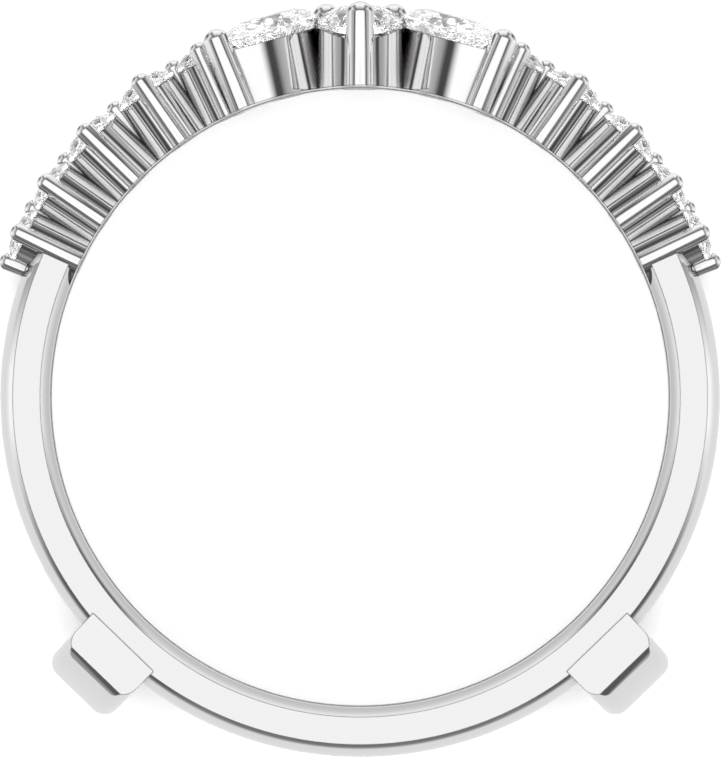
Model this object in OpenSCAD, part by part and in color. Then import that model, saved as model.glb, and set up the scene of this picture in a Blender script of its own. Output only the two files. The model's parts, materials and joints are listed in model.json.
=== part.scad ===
// Ring guard enhancer: two gem-set rows joined by two arched bars, with a gap between
// the rows for a plain solitaire ring. Millimetres. The finger's axis is Z, the top of
// the ring is +Y, and the origin is the centre of the finger bore, midway between the rows.

/* [Ring] */
// Inside diameter of the finger bore, which is the ring size
finger_d = 17.35; // [15.5:0.05:21]
// Width of the gap between the two rows
slot_w = 2.5; // [2:0.1:3.2]
// Width of each shank band along the finger
band_w = 2.35; // [2.1:0.05:2.8]
// Thickness of each band at the crown of its outer dome
band_t = 1.375; // [1.2:0.025:1.8]
// Rise of the outer dome from the band's flat side to its crown
dome_rise = 0.36; // [0.15:0.01:0.5]
// Rise of the inner dome, which eases the edge that meets the finger
comfort_rise = 0.29; // [0.15:0.01:0.4]
// Distance along the row from the middle of the last small stone to the plain shank
shank_past = 0.22; // [0.1:0.02:0.4]

/* [Bridge bars] */
// Angle of each bar from the bottom of the ring
bar_angle = 44; // [30:1:60]
// Width of a bar around the ring
bar_w = 2.34; // [1.6:0.02:3]
// Thickness of a bar
bar_t = 1.05; // [0.8:0.05:1.3]
// Height of a bar's arch above the bore's wall
bar_rise = 2.83; // [2.6:0.01:3.2]
// Height of a bar's outer edge above the bore's wall, at its two ends
bar_end_rise = 2.0; // [1.9:0.01:2.2]
// Radius of a bar's outer corners
bar_corner = 0.45; // [0.2:0.05:0.5]
// How far a bar's ends stand proud of the bands' flat sides
bar_proud = 0.05; // [0.02:0.01:0.15]

/* [Stones] */
// Diameter of the centre round stone
centre_d = 2.35; // [2.1:0.05:2.4]
// Length of a marquise stone
marquise_l = 4; // [3.8:0.05:4.1]
// Width of a marquise stone
marquise_w = 2; // [1.8:0.05:2.05]
// Diameter of the largest small round stones
small_d = 1.85; // [1.75:0.01:1.9]
// Depth of a stone's crown as a share of its width
crown_share = 0.16; // [0.12:0.01:0.18]
// Depth of a stone's pavilion as a share of its width
pavilion_share = 0.43; // [0.38:0.01:0.45]
// Thickness of a stone's girdle
girdle_t = 0.06; // [0.03:0.01:0.1]
// Width of a stone's table as a share of its own width
table_share = 0.57; // [0.5:0.01:0.65]
// Clearance between a stone and its seat
seat_gap = 0.03; // [0.02:0.01:0.05]

/* [Places of the stones] */
// How far the centre and marquise stones' front prongs stand out beyond the flat side
head_proud = 1.095; // [1:0.005:1.2]
// Height of the centre stone's girdle above the bore's wall
centre_h = 1.79; // [1.7:0.01:1.9]
// Lean of the centre stone and its collet away from the gap
centre_lean = 6.8; // [0:0.1:8]
// Distance along the row from the edge of the centre stone to the middle of a marquise stone
marquise_past = 1.361; // [1.35:0.005:1.4]
// Distance from the gap to a marquise stone's inner point
marquise_clear = 0.17; // [0.12:0.01:0.25]
// Turn of a marquise stone away from the line of its row
marquise_turn = 47.7; // [46:0.1:50]
// Height of a marquise stone's girdle above the bore's wall
marquise_h = 1.93; // [1.85:0.01:2]
// Lean of a marquise stone and its collet away from the gap
marquise_lean = 3; // [0:0.5:5]
// Height of the small stones' girdles above the bore's wall
small_h = 1.74; // [1.65:0.01:1.85]
// Distance along the row from the middle of a marquise stone to that of the first small stone
first_small_past = 2.054; // [2.04:0.01:2.1]

/* [Collets] */
// How far the collets stand out round the stones
collet_lip = 0.02; // [0.01:0.01:0.06]
// Depth of the small collets' rims below the girdles
small_rim_drop = 0.08; // [0.06:0.01:0.12]
// Depth of the marquise collets' rims below the girdles
marquise_rim_drop = 0.29; // [0.2:0.01:0.35]
// Depth of the centre collet's rim below the girdle, beside the shared prongs
centre_rim_drop = 0.1; // [0.06:0.01:0.2]
// Radius of the scallop across the centre collet's rim
centre_scallop_r = 2.8; // [2.4:0.1:4]
// Narrowing of the marquise collets from rim to bore, in degrees on each side
collet_taper = 4; // [2:0.5:5]
// Diameter of the drilled hole under a stone as a share of its width
drill_share = 0.45; // [0.3:0.01:0.5]

/* [Prongs] */
// Radius of the prong in front of and behind the centre stone
centre_prong_r = 0.4; // [0.3:0.01:0.45]
// Radius of the prong at a marquise's outer point
tip_prong_r = 0.36; // [0.3:0.01:0.4]
// Distance that the prong at a marquise's outer point stands past it, along the row
tip_prong_past = 0.2; // [0.1:0.01:0.25]
// Radius of the prong at a marquise's inner point
inner_tip_prong_r = 0.22; // [0.18:0.01:0.26]
// Distance from the gap to the prong at a marquise's inner point
inner_tip_prong_clear = 0.08; // [0.04:0.01:0.12]
// Radius of the prongs that the centre stone shares with a marquise
side_prong_r = 0.38; // [0.3:0.01:0.4]
// Angle of those prongs round the centre stone, from the line of the row to the gap
side_prong_turn = 39; // [30:1:45]
// Radius of the prongs that small stones share with their neighbours
shared_prong_r = 0.25; // [0.2:0.01:0.28]
// Radius of the prongs on the gap's side of the small stones
inner_prong_r = 0.2; // [0.16:0.01:0.22]
// Distance from the edge of the first small stone to the middle of the prong before it
first_prong_clear = 0.18; // [0.15:0.01:0.22]
// Distance from the edge of the last small stone to the middle of the prong past it
end_prong_clear = 0.104; // [0.06:0.002:0.16]
// Distance of the prongs' axes outside the stones' edges
prong_set = 0.02; // [0.01:0.01:0.04]
// Distance of the small stones' front prongs' axes inside the flat side
post_inset = 0.2; // [0.15:0.01:0.25]
// Height of the centre and marquise prongs above the bore's wall
tall_prong_h = 2.35; // [2.3:0.01:2.45]
// Height of the shared and inner prongs above the bore's wall
low_prong_h = 2.1; // [2.05:0.01:2.2]
// Share of a prong's radius by which its domed tip is flatter than a ball
dome_flat = 0.06; // [0.02:0.01:0.2]

/* [Hidden] */
$fn = 64;

// The small round stones of one shoulder, from the centre outwards, all in shares of small_d:
// diameter, gap to the stone before it, radius of the front prong, and how far that prong
// stands above the shared ones
DIA = 0;
GAP = 1;
POST_R = 2;
EXTRA_H = 3;
SMALL = [
    [0.865, 0, 0.135, 0.065],
    [1, 0.041, 0.151, 0.092],
    [1, 0.091, 0.146, 0.065],
    [0.838, 0.034, 0.146, 0.043],
    [0.811, 0.02, 0.146, 0.016]
];
LAST = len(SMALL) - 1;
function small(i, column) = small_d * SMALL[i][column];

bore_r = finger_d / 2;
slot_z = slot_w / 2;
side_z = slot_z + band_w;
mid_z = slot_z + band_w / 2;

// Every prong and collet starts this far inside the bore's wall, and the bore trims it
foot = 0.35;

// The front prongs of the small stones stand in one line along the band's flat side
post_z = side_z - post_inset;

// The centre stone sits behind its front prong
head_z = side_z + head_proud;
centre_z = head_z - centre_prong_r - prong_set - centre_d / 2;

// A marquise stone lies aslant, with its inner point beside the gap
marquise_half = marquise_l / 2;
marquise_z = slot_z + marquise_clear + marquise_half * sin(marquise_turn);

// Sides of the outlines that run right round the ring, and of the wide arcs
fine_fn = 256;
arc_fn = 128;

// Angle round the ring of a length along the row, at a height above the bore's wall, and of
// a straight length that touches the ring there
function along(length, h) = length / (bore_r + h) * 180 / PI;
function span(length, h) = atan(length / (bore_r + h));

// Places of the stones: angles from the top, and distances from the middle of the ring
marquise_at = along(centre_d / 2 + marquise_past, marquise_h);
function small_at(i) = i == 0
    ? marquise_at + along(first_small_past, small_h)
    : small_at(i - 1)
        + along(small(i - 1, DIA) / 2 + small(i, GAP) + small(i, DIA) / 2, small_h);
function small_z(i) = post_z - small(i, DIA) / 2 - prong_set;
first_prong_at = small_at(0) - along(small(0, DIA) / 2 + first_prong_clear, small_h);
end_prong_at = small_at(LAST) + along(small(LAST, DIA) / 2 + end_prong_clear, small_h);
shank_start = small_at(LAST) + along(shank_past, small_h);

function crown_h(w) = crown_share * w;
function pavilion_h(w) = pavilion_share * w;

// Radius of the arcs that make a marquise's outline
function arc_r(half_l, half_w) = (half_l * half_l + half_w * half_w) / (2 * half_w);

// Where the facets meet above and below a stone's girdle, as shares of its half width
star_share = 0.82;
lower_share = 0.5;

// Levels of a stone's corners above and below the middle of its girdle. Eight flat facets
// run up to the table and eight down to the point, and their ridges bend out past a cone.
bend = cos(180 / 8);
function crown_top(w) = girdle_t / 2 + crown_h(w);
function pavilion_bottom(w) = -girdle_t / 2 - pavilion_h(w);
function star_level(w) =
    girdle_t / 2 + crown_h(w) * (1 - star_share * bend) / (1 - table_share);
function lower_level(w) = -girdle_t / 2 - pavilion_h(w) * (1 - lower_share * bend);

stone_colour = [0.86, 0.92, 0.97, 0.6];

// Puts its children, made upright round +Z, on the ring at an angle from the top, with
// their origin at a height above the bore's wall and their top leaning out of the gap
module on_ring(at, z, lean = 0, h = 0)
    rotate([0, 0, -at])
        translate([0, bore_r + h, z])
            rotate([lean - 90, 0, 0])
                children();

// Copies its children to the other side of the gap, and with both, to the other shoulder too
module front_and_back() {
    children();
    mirror([0, 0, 1]) children();
}
module left_and_right() {
    children();
    mirror([1, 0, 0]) children();
}

// Shank

// How far the bore cuts into the crown of the inner dome
bore_trim = 0.045;

// Section of one band, with X out from the bore's centre and Y along the finger
module band_section() {
    half = band_w / 2;
    in_crown = bore_r - bore_trim;
    out_r = (half * half + dome_rise * dome_rise) / (2 * dome_rise);
    in_r = (half * half + comfort_rise * comfort_rise) / (2 * comfort_rise);
    intersection() {
        translate([bore_r - foot, -half]) square([band_t + 2 * foot, band_w]);
        translate([bore_r + band_t - out_r, 0]) circle(out_r, $fn = fine_fn);
        translate([in_crown + in_r, 0]) circle(in_r, $fn = fine_fn);
    }
}

// One band, from one shoulder round the bottom to the other
module shank_band()
    translate([0, 0, mid_z])
        rotate([0, 0, 90 + shank_start])
            rotate_extrude(angle = 360 - 2 * shank_start, $fn = fine_fn)
                band_section();

// The slim rail inside the head that the collets grow from, set back from the gap
rail_t = 0.6;
rail_w = 1.1;
rail_back = 0.15;
module head_rail()
    translate([0, 0, slot_z + rail_back])
        rotate_extrude($fn = fine_fn)
            translate([bore_r - foot / 2, 0]) square([rail_t + foot / 2, rail_w]);

// Bridge bars

// Section of a bar across its arch: X away from the arch's axis, Y around the ring. The
// shapes that round its outer corners run a little past the sides that they leave.
over = 0.1;
corner_over = 1.01;
module bar_section(in_r, out_r) {
    half = bar_w / 2;
    inset = out_r - bar_corner;
    intersection() {
        translate([in_r, -half]) square([bar_t, bar_w]);
        union() {
            translate([in_r - over, -half - over])
                square([inset - in_r + over, bar_w + 2 * over]);
            translate([in_r, bar_corner - half])
                square([bar_t + over, bar_w - 2 * bar_corner]);
            for (side = [-1, 1])
                translate([inset, side * (half - bar_corner)])
                    circle(bar_corner * corner_over);
        }
    }
}

// One bar at the bottom of the ring: an arch over the gap, cut flat at both ends
module bridge_bar() {
    end_z = side_z + bar_proud;
    rise = bar_rise - bar_end_rise;
    out_r = (end_z * end_z + rise * rise) / (2 * rise);
    intersection() {
        translate([0, out_r - bore_r - bar_rise, 0])
            rotate([0, 90, 0])
                rotate_extrude($fn = fine_fn)
                    bar_section(out_r - bar_t, out_r);
        translate([-bar_w, -bore_r - 2 * bar_rise, -end_z])
            cube([2 * bar_w, 2 * bar_rise, 2 * end_z]);
    }
}

module bridge_bars()
    for (side = [-1, 1])
        rotate([0, 0, side * bar_angle]) bridge_bar();

// Prongs

// An upright prong of a radius, from its foot below the bore's wall to a low domed tip.
// The dome is a little wider than the prong, which leaves a fine crease round the tip.
module prong(r, h) {
    dome_r = r * (1 + dome_flat);
    rotate_extrude($fn = 48)
        intersection() {
            translate([0, -foot]) square([r, h + foot]);
            union() {
                translate([0, -2 * foot]) square([2 * r, h - dome_r + 2 * foot]);
                translate([0, h - dome_r]) circle(dome_r);
            }
        }
}

// Collets

// A marquise collet with its rim at the origin, narrowing downwards, as two cones' overlap
module marquise_collet(depth) {
    half_w = marquise_w / 2 + collet_lip;
    r = arc_r(marquise_half + collet_lip, half_w);
    intersection_for (side = [-1, 1])
        translate([0, side * (r - half_w), -depth])
            cylinder(r1 = r - depth * tan(collet_taper), r2 = r, h = depth, $fn = arc_fn);
}

// The centre collet with the stone's girdle at its origin. A wide scallop over the top
// drops its rim in front and behind, so that the stone's underside shows there.
module centre_collet(depth) {
    r = centre_d / 2 + collet_lip;
    intersection() {
        translate([0, 0, -depth]) cylinder(r = r, h = depth);
        translate([0, 0, -centre_rim_drop - centre_scallop_r])
            rotate([0, 90, 0])
                cylinder(r = centre_scallop_r, h = 4 * r, center = true, $fn = arc_fn);
    }
}

// What is cut away for a round stone, with its girdle at the origin: the stone's own
// profile with the seat's clearance, open above the table, and the drilled hole below
module round_seat(d) {
    r = d / 2;
    top = crown_top(d);
    rotate_extrude()
        polygon([
            [0, pavilion_bottom(d) - seat_gap],
            [lower_share * r + seat_gap, lower_level(d) - seat_gap],
            [r + seat_gap, -girdle_t / 2 - seat_gap],
            [r + seat_gap, girdle_t / 2 + seat_gap],
            [star_share * r + seat_gap, star_level(d) + seat_gap],
            [table_share * r + seat_gap, top + seat_gap],
            [table_share * r + seat_gap, top + r],
            [0, top + r]
        ]);
    drill_hole(d);
}

// The hole drilled through the collet from the bore, which lets light in under the stone
drill_l = 4;
module drill_hole(w)
    translate([0, 0, -drill_l])
        cylinder(r = drill_share * w / 2, h = drill_l - pavilion_h(w) / 2);

// What is cut away for a marquise stone: the overlap of two turned profiles, whose centres
// are those of the outline's two arcs
module marquise_seat() {
    half_w = marquise_w / 2;
    r = arc_r(marquise_half, half_w);
    g = girdle_t / 2 + seat_gap;
    up = crown_h(marquise_w);
    down = pavilion_h(marquise_w) + seat_gap;
    intersection_for (side = [-1, 1])
        translate([0, side * (r - half_w), 0])
            rotate_extrude($fn = arc_fn)
                polygon([
                    [0, -g - down],
                    [r - half_w, -g - down],
                    [r + seat_gap, -g],
                    [r + seat_gap, g],
                    [r + seat_gap - half_w * (1 - table_share), g + up],
                    [0, g + up]
                ]);
    drill_hole(marquise_w);
}

// Places

module place_centre() on_ring(0, centre_z, centre_lean, centre_h) children();

module place_marquise()
    on_ring(marquise_at, marquise_z, marquise_lean, marquise_h)
        rotate([0, 0, -marquise_turn]) children();

module place_small(i) on_ring(small_at(i), small_z(i), 0, small_h) children();

// Head

// The prongs and collets of one shoulder of the front row
module shoulder() {
    place_marquise()
        translate([0, 0, -marquise_rim_drop])
            marquise_collet(marquise_h - marquise_rim_drop + foot);

    // a prong at each point of the marquise
    reach = marquise_half * cos(marquise_turn);
    on_ring(marquise_at + span(reach + tip_prong_past, marquise_h), head_z - tip_prong_r)
        prong(tip_prong_r, tall_prong_h);
    on_ring(
        marquise_at - span(reach, marquise_h),
        slot_z + inner_tip_prong_clear + inner_tip_prong_r
    )
        prong(inner_tip_prong_r, low_prong_h);

    // shared by the centre stone and the marquise
    side_reach = centre_d / 2 + prong_set;
    on_ring(
        span(side_reach * cos(side_prong_turn), centre_h),
        centre_z - side_reach * sin(side_prong_turn)
    )
        prong(side_prong_r, tall_prong_h);

    // a collet, a front prong and a prong beside the gap for each small stone
    for (i = [0 : LAST]) {
        r = small(i, DIA) / 2;
        place_small(i)
            translate([0, 0, -small_h - foot])
                cylinder(r = r + collet_lip, h = small_h + foot - small_rim_drop);
        on_ring(small_at(i), post_z) prong(small(i, POST_R), low_prong_h + small(i, EXTRA_H));
        on_ring(small_at(i), small_z(i) - r - prong_set) prong(inner_prong_r, low_prong_h);
    }

    // before the first small stone, between neighbours, and past the last one
    on_ring(first_prong_at, small_z(0)) prong(shared_prong_r, low_prong_h);
    for (i = [1 : LAST]) {
        at = small_at(i) - along(small(i, DIA) / 2 + small(i, GAP) / 2, small_h);
        on_ring(at, (small_z(i - 1) + small_z(i)) / 2) prong(shared_prong_r, low_prong_h);
    }
    on_ring(end_prong_at, small_z(LAST)) prong(shared_prong_r, low_prong_h);
}

module head_row() {
    place_centre() centre_collet(centre_h + foot);
    on_ring(0, head_z - centre_prong_r) prong(centre_prong_r, tall_prong_h);
    left_and_right() shoulder();
}

module seats() {
    place_centre() round_seat(centre_d);
    left_and_right() {
        place_marquise() marquise_seat();
        for (i = [0 : LAST]) place_small(i) round_seat(small(i, DIA));
    }
}

// All the metal, cast and soldered into one piece
module ring_frame()
    color([0.91, 0.91, 0.92])
        difference() {
            union() {
                front_and_back() {
                    shank_band();
                    head_rail();
                    head_row();
                }
                bridge_bars();
            }
            cylinder(r = bore_r, h = 4 * head_z, center = true, $fn = fine_fn);
            front_and_back() seats();
        }

// Stones

// Corners of a stone of brilliant cut, level by level, from the table down to the culet.
// An outline function of the index gives the girdle's corners; the rest are shares of it.
SIDES = 16;
TABLE = 0;
STAR = 8;
TOP = 16;
BOTTOM = 32;
LOWER = 48;
CULET = 56;

function round_outline(d) =
    [for (i = [0 : SIDES - 1]) d / 2 * [cos(i * 360 / SIDES), sin(i * 360 / SIDES)]];

function marquise_corner(u, side, r, half_w) =
    [side * r * sin(u), side * (r * cos(u) - r + half_w)];

function marquise_girdle(half_l, half_w) =
    let (r = arc_r(half_l, half_w), tip = asin(half_l / r), n = SIDES / 2)
    [for (i = [0 : SIDES - 1])
        let (side = i < n ? 1 : -1, u = tip * (1 - 2 * (i % n) / n))
        marquise_corner(u, side, r, half_w)];

function level(outline, share, h, first = 0, step = 1) =
    [for (i = [first : step : SIDES - 1]) [share * outline[i].x, share * outline[i].y, h]];

module brilliant(outline, w) {
    points = concat(
        level(outline, table_share, crown_top(w), 0, 2),
        level(outline, star_share, star_level(w), 1, 2),
        level(outline, 1, girdle_t / 2),
        level(outline, 1, -girdle_t / 2),
        level(outline, lower_share, lower_level(w), 1, 2),
        [[0, 0, pavilion_bottom(w)]]
    );
    faces = concat(
        [[for (k = [7 : -1 : 0]) TABLE + k]],
        [for (k = [0 : 7]) each let (
                n = (k + 1) % 8,
                p = (k + 7) % 8,
                even = 2 * k,
                odd = 2 * k + 1,
                next = (2 * k + 2) % SIDES
            ) [
            [TABLE + k, TABLE + n, STAR + k],
            [TABLE + k, STAR + k, TOP + even],
            [TABLE + k, TOP + even, STAR + p],
            [STAR + k, TOP + odd, TOP + even],
            [STAR + k, TOP + next, TOP + odd],
            [TOP + even, TOP + odd, BOTTOM + odd, BOTTOM + even],
            [TOP + odd, TOP + next, BOTTOM + next, BOTTOM + odd],
            [LOWER + k, BOTTOM + even, BOTTOM + odd],
            [LOWER + k, BOTTOM + odd, BOTTOM + next],
            [CULET, BOTTOM + even, LOWER + k],
            [CULET, LOWER + p, BOTTOM + even]
        ]]
    );
    color(stone_colour) polyhedron(points, faces);
}

module centre_stone() place_centre() brilliant(round_outline(centre_d), centre_d);

module marquise_stone()
    place_marquise() brilliant(marquise_girdle(marquise_half, marquise_w / 2), marquise_w);

module small_stone(i) place_small(i) brilliant(round_outline(small(i, DIA)), small(i, DIA));

// Every stone by name, with its row and shoulder as signs, and its place in SMALL or a kind
ROWS = [["front", 1], ["back", -1]];
SHOULDERS = [["left", -1], ["right", 1]];
CENTRE = -1;
MARQUISE = -2;
NAME = 0;
ROW = 1;
SHOULDER = 2;
KIND = 3;
STONES = concat(
    [for (r = ROWS) [str("centre_round_", r[0]), r[1], 1, CENTRE]],
    [for (r = ROWS, s = SHOULDERS) [str("marquise_", r[0], "_", s[0]), r[1], s[1], MARQUISE]],
    [for (r = ROWS, s = SHOULDERS, i = [0 : LAST])
        [str("small_round_", r[0], "_", s[0], "_", i + 1), r[1], s[1], i]]
);

module stone(entry)
    mirror([0, 0, entry[ROW] < 0 ? 1 : 0])
        mirror([entry[SHOULDER] < 0 ? 1 : 0, 0, 0]) {
            if (entry[KIND] == CENTRE) centre_stone();
            if (entry[KIND] == MARQUISE) marquise_stone();
            if (entry[KIND] >= 0) small_stone(entry[KIND]);
        }

ring_frame();
for (entry = STONES)
    stone(entry);
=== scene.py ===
# %% [markdown]
# A ring guard enhancer in polished white gold
#
# The real piece is a pair of gem-set bands, soldered together by two arched bars. A plain
# solitaire ring drops into the slot between the bands. The solids of the CAD model fix every
# size and place. This script dresses them: it turns the metal again with finer curves, so
# that a mirror polish shows no flat spots, and gives the stones and the metal their finish.

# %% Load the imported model
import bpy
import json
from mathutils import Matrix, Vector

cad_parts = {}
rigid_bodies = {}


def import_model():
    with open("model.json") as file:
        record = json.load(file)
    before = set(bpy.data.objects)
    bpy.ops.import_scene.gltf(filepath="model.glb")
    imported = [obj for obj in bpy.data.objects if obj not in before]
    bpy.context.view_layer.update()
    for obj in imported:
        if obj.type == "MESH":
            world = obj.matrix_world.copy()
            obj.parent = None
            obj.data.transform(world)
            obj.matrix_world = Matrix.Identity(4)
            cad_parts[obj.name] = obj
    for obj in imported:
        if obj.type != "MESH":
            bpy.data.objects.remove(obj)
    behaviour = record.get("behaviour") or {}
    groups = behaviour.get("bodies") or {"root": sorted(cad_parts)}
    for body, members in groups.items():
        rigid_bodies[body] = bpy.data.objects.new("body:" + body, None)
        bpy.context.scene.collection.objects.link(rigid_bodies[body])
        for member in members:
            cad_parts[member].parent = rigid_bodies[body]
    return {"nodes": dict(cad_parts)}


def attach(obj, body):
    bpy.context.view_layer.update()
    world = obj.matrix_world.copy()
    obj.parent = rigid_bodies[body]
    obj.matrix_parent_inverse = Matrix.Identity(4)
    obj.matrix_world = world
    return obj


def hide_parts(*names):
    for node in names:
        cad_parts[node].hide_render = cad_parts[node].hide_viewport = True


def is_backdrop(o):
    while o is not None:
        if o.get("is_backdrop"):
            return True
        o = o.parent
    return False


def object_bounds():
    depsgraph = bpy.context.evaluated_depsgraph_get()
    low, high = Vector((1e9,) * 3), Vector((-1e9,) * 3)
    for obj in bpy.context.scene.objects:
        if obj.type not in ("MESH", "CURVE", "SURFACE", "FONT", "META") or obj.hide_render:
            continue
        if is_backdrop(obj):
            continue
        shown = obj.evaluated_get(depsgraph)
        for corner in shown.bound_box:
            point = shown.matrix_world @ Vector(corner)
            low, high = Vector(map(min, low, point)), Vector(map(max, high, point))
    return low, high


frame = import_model()
cad_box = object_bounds()
print("packed nodes:", len(frame["nodes"]))

# %% [markdown]
# Units and colours
#
# Jewellery is measured in millimetres and Blender works in metres, so everything here is
# built in millimetres and shrunk once, at the end. Colours are picked as sRGB hex values,
# as on a screen. The renderer wants linear light instead, so one function turns them.

# %% Units and colours
import json
import math
import bpy
import bmesh
from mathutils import Matrix, Vector

MM = 0.001


def linear(hex_colour):
    """An sRGB hex colour as linear red, green, blue and alpha."""
    channels = [int(hex_colour[i:i + 2], 16) / 255 for i in (1, 3, 5)]
    return [c / 12.92 if c <= 0.04045 else ((c + 0.055) / 1.055) ** 2.4 for c in channels] + [1]


print("mid grey is", [round(c, 3) for c in linear("#808080")])

# %% [markdown]
# Where lengths are measured from
#
# The sizes in this script are the CAD model's own, in millimetres and degrees. Heights are
# measured outwards from the wall of the finger bore, and angles round the ring from its top.
# Z runs along the finger, with the slot for the solitaire in the middle.

# %% Bore, slot and bands
finger_d = 17.35
bore_r = finger_d / 2
slot_z = 2.5 / 2
band_w = 2.35
side_z = slot_z + band_w
mid_z = slot_z + band_w / 2
print(f"bore {finger_d:.2f} mm across, bands from {slot_z:.2f} to {side_z:.2f} mm off the middle")

# %% [markdown]
# Lay out the stones
#
# A setter lays the stones out along the row with dividers, each a small gap past the one
# before it. Angles read off a drawing would do, but a change to one stone would then leave
# its neighbours behind. So the places are lengths along the row here as well, and one helper
# turns a length into an angle round the ring.

# %% Centre and marquise stones
centre_d = 2.35
marquise_half = 4 / 2
marquise_w = 2
marquise_h = 1.93
marquise_past = 1.361


def along(length, height):
    """Degrees round the ring of a length along the row, at a height above the bore's wall."""
    return math.degrees(length / (bore_r + height))


marquise_at = along(centre_d / 2 + marquise_past, marquise_h)
print(f"marquise stones {marquise_at:.1f} degrees either side of the top")

# %% [markdown]
# The small rounds
#
# Five small rounds run down each shoulder, larger in the middle of the run than at its ends.
# Each is a row of a short table, in shares of the largest diameter, so that the whole run
# grows and shrinks with one size. A loop walks down the shoulder and adds up their places.

# %% Small rounds of one shoulder
small_d = 1.85
small_h = 1.74
first_small_past = 2.054

# in shares of small_d: diameter, gap to the one before, front post's radius, and how far
# that post stands above the shared prongs
SMALL_SHARES = [
    {"d": 0.865, "gap": 0, "post_r": 0.135, "extra_h": 0.065},
    {"d": 1, "gap": 0.041, "post_r": 0.151, "extra_h": 0.092},
    {"d": 1, "gap": 0.091, "post_r": 0.146, "extra_h": 0.065},
    {"d": 0.838, "gap": 0.034, "post_r": 0.146, "extra_h": 0.043},
    {"d": 0.811, "gap": 0.02, "post_r": 0.146, "extra_h": 0.016},
]
small_rounds = []
for shares in SMALL_SHARES:
    stone = {what: small_d * share for what, share in shares.items()}
    if small_rounds:
        last = small_rounds[-1]
        stone["at"] = last["at"] + along(last["d"] / 2 + stone["gap"] + stone["d"] / 2, small_h)
    else:
        stone["at"] = marquise_at + along(first_small_past, small_h)
    small_rounds.append(stone)
first_small, last_small = small_rounds[0], small_rounds[-1]
print("small rounds at", [round(s["at"], 1) for s in small_rounds], "degrees from the top")

# %% [markdown]
# Turning
#
# A jeweller turns, mills and files; almost every surface of this ring is a turned one. So
# the main tool is a lathe: it takes an outline of radii and heights and spins it round Z.
# Blender has a Screw modifier for that, but a few lines of bmesh close the solid's ends as
# well, and booleans need closed solids. Points of the outline that lie on the axis land on
# each other when they are spun, and are welded into one.

# %% The lathe
weld_mm = 1e-5


def turned(outline, steps=64, sweep=360):
    """A closed solid in mm: an outline of (radius, height) spun round Z."""
    bm = bmesh.new()
    full = sweep == 360
    columns = []
    for k in range(steps if full else steps + 1):
        a = math.radians(sweep) * k / steps
        columns.append([bm.verts.new((r * math.cos(a), r * math.sin(a), h)) for r, h in outline])
    n = len(outline)
    for k in range(steps):
        near, far = columns[k], columns[(k + 1) % len(columns)]
        for i in range(n):
            j = (i + 1) % n
            if outline[i][0] or outline[j][0]:
                bm.faces.new((near[i], near[j], far[j], far[i]))
    if not full:
        bm.faces.new(columns[0])
        bm.faces.new(columns[-1])
    bmesh.ops.remove_doubles(bm, verts=bm.verts, dist=weld_mm)
    bmesh.ops.recalc_face_normals(bm, faces=bm.faces)
    return bm


hoop = turned([(1, 0), (2, 0), (2, 1), (1, 1)])
print(f"a hoop 1 mm square and 4 mm across has {hoop.calc_volume():.2f} mm3")
hoop.free()

# %% [markdown]
# Arcs in an outline
#
# Corners are filed round and prong tips are burnished to domes, so outlines need arcs. A
# bevel would round them afterwards. Putting the arc's points into the outline keeps the
# radius exact, and the lathe carries it round with the rest.

# %% Points of an arc
def rounded(centre, radius, start, end, steps=12):
    """Points of an arc for an outline, in mm and degrees."""
    turns = [math.radians(start + (end - start) * k / steps) for k in range(steps + 1)]
    return [(centre[0] + radius * math.cos(t), centre[1] + radius * math.sin(t)) for t in turns]


print("a quarter arc has", len(rounded((0, 0), 1, 0, 90)), "points")

# %% [markdown]
# Where things stand on the ring
#
# A prong or collet is turned upright at the origin and then put on the ring: leaned, moved
# out to the bore's wall, and swung round from the top. Three moves of an object would do it.
# One matrix does all three, and a mirror matrix in front of it gives the back row or the
# other shoulder, so each piece is made once and placed up to 4 times.

# %% Places on the ring
MIRROR_Z = Matrix.Scale(-1, 4, (0, 0, 1))
MIRROR_X = Matrix.Scale(-1, 4, (1, 0, 0))


def on_ring(at, z, lean=0, height=0):
    """The matrix that puts an upright piece on the ring, in mm and degrees."""
    return (
        Matrix.Rotation(math.radians(-at), 4, "Z")
        @ Matrix.Translation((0, bore_r + height, z))
        @ Matrix.Rotation(math.radians(lean - 90), 4, "X")
    )


def both_rows(place):
    """A place on the front row and the same on the back row."""
    return [place, MIRROR_Z @ place]


def all_shoulders(place):
    """A place on both rows and on both shoulders."""
    return both_rows(place) + both_rows(MIRROR_X @ place)


print("top of the front row, on the bore's wall:", [round(v, 2) for v in on_ring(0, mid_z).translation])

# %% [markdown]
# Metal and tools kept apart
#
# What is metal and what only cuts it go into two collections, because a boolean can take a
# whole collection at once. A mirrored copy is inside out, so its faces are flipped back.
# The two finishes are only named here; they get their looks further down.

# %% Keep the pieces
metal_pieces = bpy.data.collections.new("metal pieces")
cutters = bpy.data.collections.new("cutters")
white_gold = bpy.data.materials.new("rhodium plated white gold, mirror polish")
bright_cut = bpy.data.materials.new("white gold, bright cut seat")


def keep(bm, name, collection, places, finish=white_gold):
    """Puts a copy of a solid at each place, the right way out, and frees the original."""
    for place in places:
        mesh = bpy.data.meshes.new(name)
        bm.to_mesh(mesh)
        mesh.materials.append(finish)
        mesh.transform(place)
        if place.determinant() < 0:
            mesh.flip_normals()
        collection.objects.link(bpy.data.objects.new(name, mesh))
    bm.free()


print("finishes of the metal:", white_gold.name, "and", bright_cut.name)

# %% [markdown]
# The shank
#
# Each band is flat on its side and domed outside and inside; the inner dome is what makers
# call a comfort fit, and the reamed bore trims its crown to a narrow land. A curve with a
# bevel could follow the ring. Drawing the section once and sweeping it on the lathe, from
# one shoulder round the bottom to the other, gives exact arcs and closed ends. The sweep is
# finely stepped, because a polished curve shows every facet.

# %% Sweep the two bands
band_t = 1.375
dome_rise = 0.36
comfort_rise = 0.29
bore_trim = 0.045
shank_past = 0.22


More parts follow.
